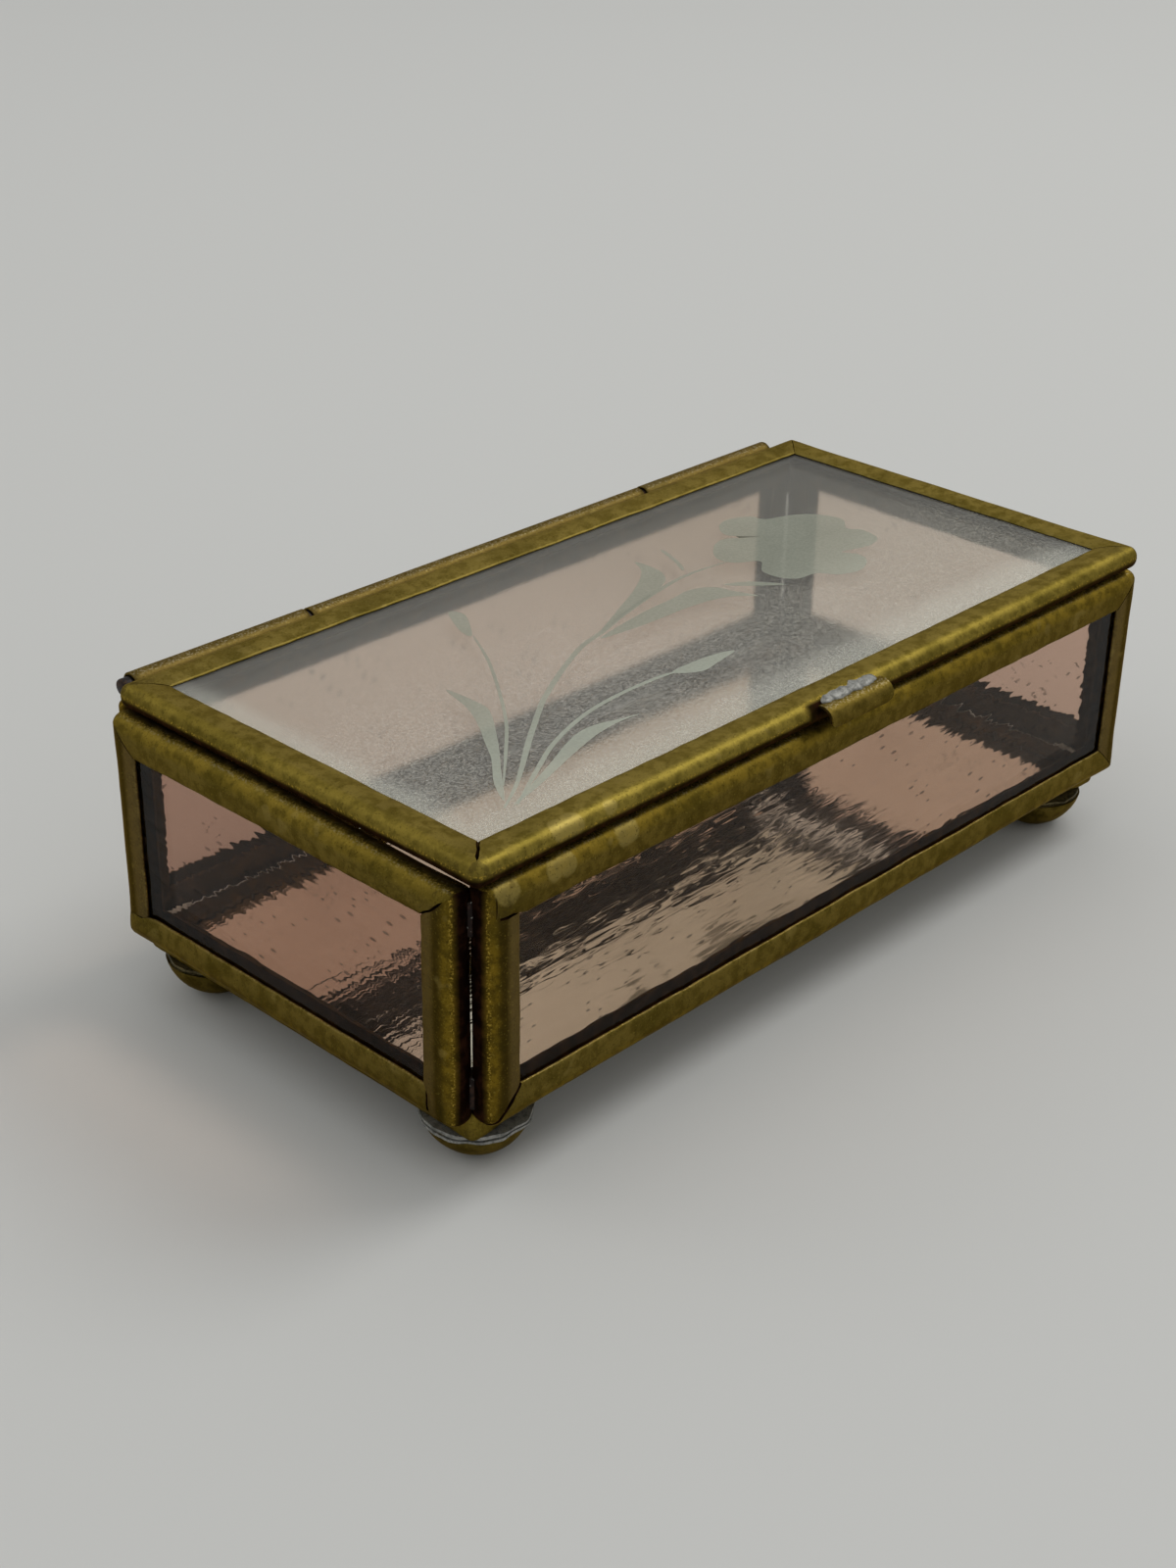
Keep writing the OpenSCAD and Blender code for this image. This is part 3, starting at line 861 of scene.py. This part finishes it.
def build_frames():
    """The folded channel of each panel, the base and the lid."""
    for seed, (node, plan) in enumerate(FRAMES.items(), 1):
        low, high = low_mm(node), high_mm(node)
        size = high - low
        origin = low.copy()
        for i in range(3):
            if plan["out"][i] < 0:
                origin[i] = high[i]
        spans = (abs(size.dot(plan["u"])), abs(size.dot(plan["v"])))
        bm = channel_frame(plan, origin, spans, abs(size.dot(plan["out"])), seed)
        finish_mesh("brass_" + node, bm, plan["body"], [node], BRASS)


# -------- panes and mirror
TINTS = {"front_glass": (0.77, 0.61, 0.51), "rear_glass": (0.71, 0.55, 0.46),
         "left_glass": (0.68, 0.51, 0.44), "right_glass": (0.80, 0.66, 0.59)}


def build_panes():
    """The CAD panes keep their shape and take their glass."""
    for seed, (node, tint) in enumerate(TINTS.items(), 1):
        along = X if node in ("front_glass", "rear_glass") else Y
        material = wall_glass_material("wall_" + node, tint, along, seed)
        dress(node, material)
    dress("lid_glass_pane", lid_glass_material())
    dress("base_mirror", mirror_material())


def dress(node, material):
    """A CAD node takes a material and a slot."""
    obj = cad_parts[node]
    obj.data.materials.clear()
    obj.data.materials.append(material)
    return obj


# -------- solder
MELT_VOXEL, LUMP_SIZE, LUMP_PUSH = 0.16, 0.9, 0.16


def build_solder():
    """The CAD's solder runs, melted into lumpy beads by modifiers."""
    lumps = bpy.data.textures.new("solder_lumps", "CLOUDS")
    lumps.noise_scale = LUMP_SIZE * MM
    lumps.noise_depth = 3
    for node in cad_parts:
        if "solder" not in node or node.startswith(("foot", "lift")):
            continue
        obj = dress(node, SLIT_SOLDER if node.startswith("corner") else SOLDER)
        remesh = obj.modifiers.new("melt", "REMESH")
        remesh.mode = "VOXEL"
        remesh.voxel_size = MELT_VOXEL * MM
        remesh.use_smooth_shade = True
        smooth = obj.modifiers.new("flow", "SMOOTH")
        smooth.iterations = 4
        push = obj.modifiers.new("lumps", "DISPLACE")
        push.texture = lumps
        push.texture_coords = "LOCAL"
        push.strength = LUMP_PUSH * MM
        push.mid_level = 0.45


def solder_run(start, end, wide, tall, seed):
    """A lumpy bead of solder from start to end along x, with ragged ends."""
    bm = bmesh.new()
    steps, turns = 70, 20
    rings = []
    for i in range(steps + 1):
        t = i / steps
        p = start.lerp(end, t)
        swell = 1 + 0.35 * noise.noise(Vector((t * 9, seed, 0)))
        size = swell * math.sqrt(max(0.0, 1 - (2 * t - 1) ** 6))
        p.y += 0.12 * noise.noise(Vector((t * 6, seed, 5)))
        ring = []
        for j in range(turns):
            a = 2 * math.pi * j / turns
            q = p + Vector((0, wide * size * math.cos(a), tall * size * math.sin(a)))
            ring.append(bm.verts.new(q + wobble(q, 0.07, 0.8, seed) * min(1.0, size * 1.5)))
        rings.append(ring)
    for a, b in zip(rings, rings[1:]):
        add_strip(bm, a, b)
    bmesh.ops.remove_doubles(bm, verts=bm.verts, dist=WELD)
    return bm


# -------- feet
DOME_FLAT, DOME_WALL = 1.1, 0.5
NEAR_SWELL = 0.32  # how far the near foot's solder bulges


def collar_profile(reach, tall, swell):
    """Two rings of solder, on the dome's rim and under the base, with a crack between."""
    return [(0, -0.1), (reach * 0.8, -0.1), (reach - 0.1, -0.34), (reach + swell, -0.26),
            (reach + swell, 0.0), (reach - 0.3, 0.09), (reach - 0.3, 0.14),
            (reach + swell, 0.22), (reach + swell, tall * 0.95), (reach - 0.6, tall), (0, tall)]


def build_feet():
    """Domes and their solder, which is bright and swollen on the near foot alone."""
    for seed, corner in enumerate(("front_left", "front_right", "rear_left", "rear_right"), 1):
        node = "foot_" + corner
        low, high = low_mm(node), high_mm(node)
        middle = (low + high) / 2
        profile = dome_profile((high.x - low.x) / 2, DOME_FLAT, high.z - low.z, DOME_WALL)
        bm = lathe(profile, Vector((middle.x, middle.y, low.z)), Z, 80, 0.04, 2.6, seed)
        for v in bm.verts:
            v.co.z = max(v.co.z, low.z)
        mark(bm, 0.45, 0.7)
        finish_mesh("dome_" + node, bm, "box", [node], BRASS)
        solder = "foot_solder_" + corner
        low, high = low_mm(solder), high_mm(solder)
        near = corner == "front_left"
        swell = NEAR_SWELL if near else 0.0
        profile = collar_profile((high.x - low.x) / 2, high.z - low.z, swell)
        bm = lathe(profile, Vector((middle.x, middle.y, low.z)), Z, 120, 0.2, 1.5, seed + 6)
        finish_mesh("collar_" + solder, bm, "box", [solder], SOLDER if near else OLD_SOLDER)


# -------- hinge
TUBE_BORE = 0.95
TUBE_BLACK = 1.03  # what lies nearer to the axis is black with painted shade
HINGE_TUBES = {"hinge_tube_left": "lid", "hinge_tube_right": "lid", "hinge_tube_middle": "box"}


def build_hinge():
    """Three tubes on one rod."""
    for seed, (node, body) in enumerate(HINGE_TUBES.items(), 1):
        low, high = low_mm(node), high_mm(node)
        middle = (low + high) / 2
        profile = tube_profile((high.z - low.z) / 2, TUBE_BORE, high.x - low.x)
        bm = lathe(profile, Vector((low.x, middle.y, middle.z)), X, 40, 0.015, 3.0, seed)
        mark(bm, 0.7, 0.7, lambda p: math.hypot(p.y - middle.y, p.z - middle.z) < TUBE_BLACK)
        finish_mesh("brass_" + node, bm, body, [node], BRASS)
    low, high = low_mm("hinge_rod"), high_mm("hinge_rod")
    middle = (low + high) / 2
    bm = lathe(rod_profile((high.z - low.z) / 2, high.x - low.x),
               Vector((low.x, middle.y, middle.z)), X, 32, 0.01, 2.0, 5)
    finish_mesh("dark_hinge_rod", bm, "box", ["hinge_rod"], ROD)


# -------- lift tab
TAB_Y, TAB_Z = CORNER.y - 3.65, CORNER.z + 25.62  # axis of its curl
TAB_RADIUS, TAB_SHEET = 1.5, 0.35
TAB_BLACK = 1.25  # what lies nearer to the axis is black with painted shade
TAB_FROM, TAB_TO = math.radians(42), math.radians(203)
# Solder in the valley between the tab and the lid's rail
BEAD_Y, BEAD_Z = CORNER.y - 2.85, CORNER.z + 27.05
BEAD_WIDE, BEAD_TALL = 0.92, 0.45


def lift_tab_mesh():
    """Curled brass leaf on the lid's front rail, with rounded free corners."""
    low, high = low_mm("lift_tab"), high_mm("lift_tab")
    half, middle = (high.x - low.x) / 2, (high.x + low.x) / 2
    columns, rows = 44, 26
    bm = bmesh.new()
    sheets = []
    for radius in (TAB_RADIUS - 0.02, TAB_RADIUS - TAB_SHEET):
        sheet = []
        for j in range(rows + 1):
            t = j / rows
            a = TAB_FROM + (TAB_TO - TAB_FROM) * t
            free = max(0.0, (t - 0.8) / 0.2)
            root = max(0.0, (0.12 - t) / 0.12)
            reach = half - 0.9 * (1 - math.sqrt(max(0.0, 1 - free ** 2))) - 0.35 * root ** 2
            row = []
            for i in range(columns + 1):
                x = middle + reach * (2 * i / columns - 1)
                p = Vector((x, TAB_Y + radius * math.cos(a), TAB_Z + radius * math.sin(a)))
                row.append(bm.verts.new(p + wobble(Vector((x, a, 0)), 0.035, 2.5, 8)))
            sheet.append(row)
        sheets.append(sheet)
    top, under = sheets
    for sheet in sheets:
        for a, b in zip(sheet, sheet[1:]):
            add_strip(bm, a, b, closed=False)
    for j in (0, rows):
        add_strip(bm, top[j], under[j], closed=False)
    for i in (0, columns):
        add_strip(bm, [row[i] for row in top], [row[i] for row in under], closed=False)
    return bm


def build_tab():
    """The tab, black with painted shade inside its curl, and the solder in the valley behind it.
    """
    bm = lift_tab_mesh()
    mark(bm, 0.55, 0.7, lambda p: math.hypot(p.y - TAB_Y, p.z - TAB_Z) < TAB_BLACK)
    finish_mesh("leaf_lift_tab", bm, "lid", ["lift_tab"], BRASS)
    ends = (low_mm("lift_tab_solder").x - 0.5, high_mm("lift_tab_solder").x + 0.5)
    start, end = (Vector((x, BEAD_Y, BEAD_Z)) for x in ends)
    bm = solder_run(start, end, BEAD_WIDE, BEAD_TALL, 4)
    finish_mesh("bead_lift_tab_solder", bm, "lid", ["lift_tab_solder"], SOLDER)


# -------- etched flower
# Points on the lid in mm from the inner front left corner of the box, along and across
BLOSSOM = [(77.5, 32.3), (76.9, 34.0), (74.5, 35.2), (72.2, 34.7), (70.6, 32.7), (71.1, 31.2),
           (73.0, 29.2), (71.3, 30.4), (69.3, 31.6), (66.9, 30.9), (64.6, 28.5), (65.0, 26.2),
           (67.4, 24.5), (65.4, 22.5), (65.4, 20.0), (66.7, 18.4), (69.2, 18.0), (70.4, 16.4),
           (71.5, 15.6), (73.7, 15.2), (76.2, 16.5), (76.8, 18.2), (76.0, 19.9), (77.6, 19.5),
           (80.0, 18.9), (82.3, 19.8), (82.9, 22.5), (82.0, 24.0), (83.9, 26.1), (82.9, 29.2),
           (80.7, 31.0)]
LEAVES = [
    [(8.4, 4.3), (10.0, 7.3), (13.2, 11.0), (15.0, 13.7), (17.4, 17.3), (19.0, 20.5),
     (20.3, 24.8), (20.5, 19.8), (19.7, 17.8), (17.4, 14.7), (15.0, 11.8), (12.6, 9.1)],
    [(30.8, 32.2), (30.9, 34.1), (33.2, 38.3), (34.1, 36.9), (32.8, 34.6)],
    [(41.2, 23.8), (46.8, 26.5), (51.4, 28.7), (54.5, 30.6), (56.2, 32.1), (57.3, 34.0),
     (57.6, 32.3), (57.3, 30.1), (55.8, 28.1), (52.2, 26.6), (48.8, 25.8), (44.5, 24.6)],
    [(40.0, 22.7), (47.6, 24.0), (52.7, 24.3), (55.2, 24.6), (57.2, 24.1), (58.5, 22.9),
     (59.0, 21.0), (60.0, 18.3), (58.0, 20.1), (55.4, 21.1), (51.8, 21.6), (46.9, 21.7),
     (42.3, 22.1)],
    [(59.4, 23.0), (62.2, 21.6), (64.5, 18.3), (61.5, 20.6)],
    [(39.0, 11.9), (42.5, 12.1), (45.8, 11.7), (47.4, 10.9), (44.2, 10.3), (41.4, 10.0)],
    [(8.3, 3.1), (16.1, 6.4), (20.0, 8.2), (23.1, 9.2), (25.5, 9.1), (27.4, 8.5), (30.0, 7.8),
     (27.1, 8.0), (23.7, 7.6), (20.1, 6.6), (16.7, 5.5), (12.8, 4.2)],
]
# Each stem's points and its width
STEMS = [
    ([(10.3, 6.4), (16.1, 12.0), (19.4, 15.4), (23.1, 20.0), (27.7, 26.4), (30.9, 32.0)], 0.35),
    ([(7.4, 3.3), (11.8, 6.1), (18.3, 11.2), (24.1, 15.5), (26.7, 17.2), (31.9, 20.1),
      (37.0, 22.5), (40.9, 23.5), (45.4, 24.9), (52.2, 26.6), (58.4, 27.5), (64.5, 27.0)], 0.6),
    ([(8.8, 3.0), (14.2, 6.2), (19.6, 9.2), (25.7, 11.3), (31.2, 12.1), (37.1, 12.1),
      (39.7, 11.6)], 0.5),
    ([(62.0, 34.4), (60.7, 31.0), (59.4, 28.7)], 0.5),
]
# Thickness of the ground film, and how much higher each drawing lies than the one before it
FILM = 0.012
FILM_STEP = 0.0008


def smooth_line(points, closed, steps):
    """Points of a smooth curve through the given ones."""
    count = len(points)
    pts = [Vector(p) for p in points]
    line = []
    for i in range(count if closed else count - 1):
        if closed:
            a, b, c, d = (pts[(i + k) % count] for k in (-1, 0, 1, 2))
        else:
            a, b = pts[max(i - 1, 0)], pts[i]
            c, d = pts[i + 1], pts[min(i + 2, count - 1)]
        for s in range(steps):
            t = s / steps
            line.append(0.5 * (2 * b + (c - a) * t + (2 * a - 5 * b + 4 * c - d) * t * t
                               + (3 * b - a - 3 * c + d) * t * t * t))
    if not closed:
        line.append(pts[-1])
    return line


def stem_outline(points, width):
    """Outline of a stroke that thins out at both ends."""
    line = smooth_line(points, False, 6)
    left, right = [], []
    for i, p in enumerate(line):
        way = (line[min(i + 1, len(line) - 1)] - line[max(i - 1, 0)]).normalized()
        t = i / (len(line) - 1)
        half = width / 2 * min(1.0, 0.35 + 4 * min(t, 1 - t))
        across = Vector((-way.y, way.x)) * half
        left.append(p + across)
        right.append(p - across)
    return left + right[::-1]


def build_etching():
    """The drawing is a very thin ground film on top of the lid's pane."""
    bm = bmesh.new()
    outlines = [smooth_line(BLOSSOM, True, 5)]
    outlines += [smooth_line(leaf, True, 4) for leaf in LEAVES]
    outlines += [stem_outline(points, width) for points, width in STEMS]
    for level, outline in enumerate(outlines):
        z = LID_TOP + FILM + FILM_STEP * level
        verts = [bm.verts.new(Vector((CORNER.x + p.x, CORNER.y + p.y, z))) for p in outline]
        bm.faces.new(verts)
    bmesh.ops.triangulate(bm, faces=bm.faces)
    finish_mesh("etched_flower", bm, "lid", [], etched_material())


# -------- ground, light, camera
GROUND_REACH = 3.0
LIT_POINT = Vector((0, 0, 0.02))
LOW_SKY, HIGH_SKY = (0.33, 0.33, 0.325), (0.64, 0.64, 0.63)
# The camera stands where the photo was taken from: place in mm, turn in degrees
CAMERA_PLACE = Vector((-170.352, -151.498, 134.904))
CAMERA_TURN = (62.1086, -0.7248, -45.9706)
CAMERA_LENS, CAMERA_SENSOR = 54.0505, 36.0


def build_ground():
    bm = bmesh.new()
    bmesh.ops.create_grid(bm, x_segments=4, y_segments=4, size=GROUND_REACH)
    mesh = bpy.data.meshes.new("ground")
    bm.to_mesh(mesh)
    bm.free()
    obj = new_object("ground", mesh)
    mesh.materials.append(ground_material())


def area_light(name, place, size, power, colour):
    lamp = bpy.data.lights.new(name, "AREA")
    lamp.shape = "DISK"
    lamp.size = size
    lamp.energy = power
    lamp.color = colour
    obj = new_object(name, lamp)
    obj.location = place
    obj.rotation_euler = (LIT_POINT - Vector(place)).to_track_quat("-Z", "Y").to_euler()


def build_light():
    """A pale room, brighter overhead, a soft window on the right and a weak lamp behind."""
    world = bpy.data.worlds.new("studio")
    bpy.context.scene.world = world
    world.use_nodes = True
    tree = world.node_tree
    way = add(tree, "ShaderNodeTexCoord").outputs["Generated"]
    sky = mixed(tree, span(tree, parts_of(tree, way)[2], 0.0, 0.75), LOW_SKY, HIGH_SKY)
    set_inputs(tree, tree.nodes["Background"], {"Color": sky, "Strength": 1.0})
    area_light("window", (0.62, -0.25, 0.9), 0.55, 3.3, (1.0, 0.99, 0.97))
    area_light("rear_fill", (-0.5, 0.8, 0.7), 0.5, 0.5, (1, 1, 1))


def build_camera():
    camera = bpy.data.cameras.new("camera")
    camera.lens = CAMERA_LENS
    camera.sensor_width = CAMERA_SENSOR
    camera.clip_start = 0.01
    obj = new_object("camera", camera)
    obj.location = CAMERA_PLACE * MM
    obj.rotation_euler = [math.radians(a) for a in CAMERA_TURN]
    bpy.context.scene.camera = obj


build_frames()
build_panes()
build_solder()
build_feet()
build_hinge()
build_tab()
build_etching()
build_ground()
build_light()
build_camera()

settings = bpy.context.scene.view_settings
settings.view_transform = "Standard"
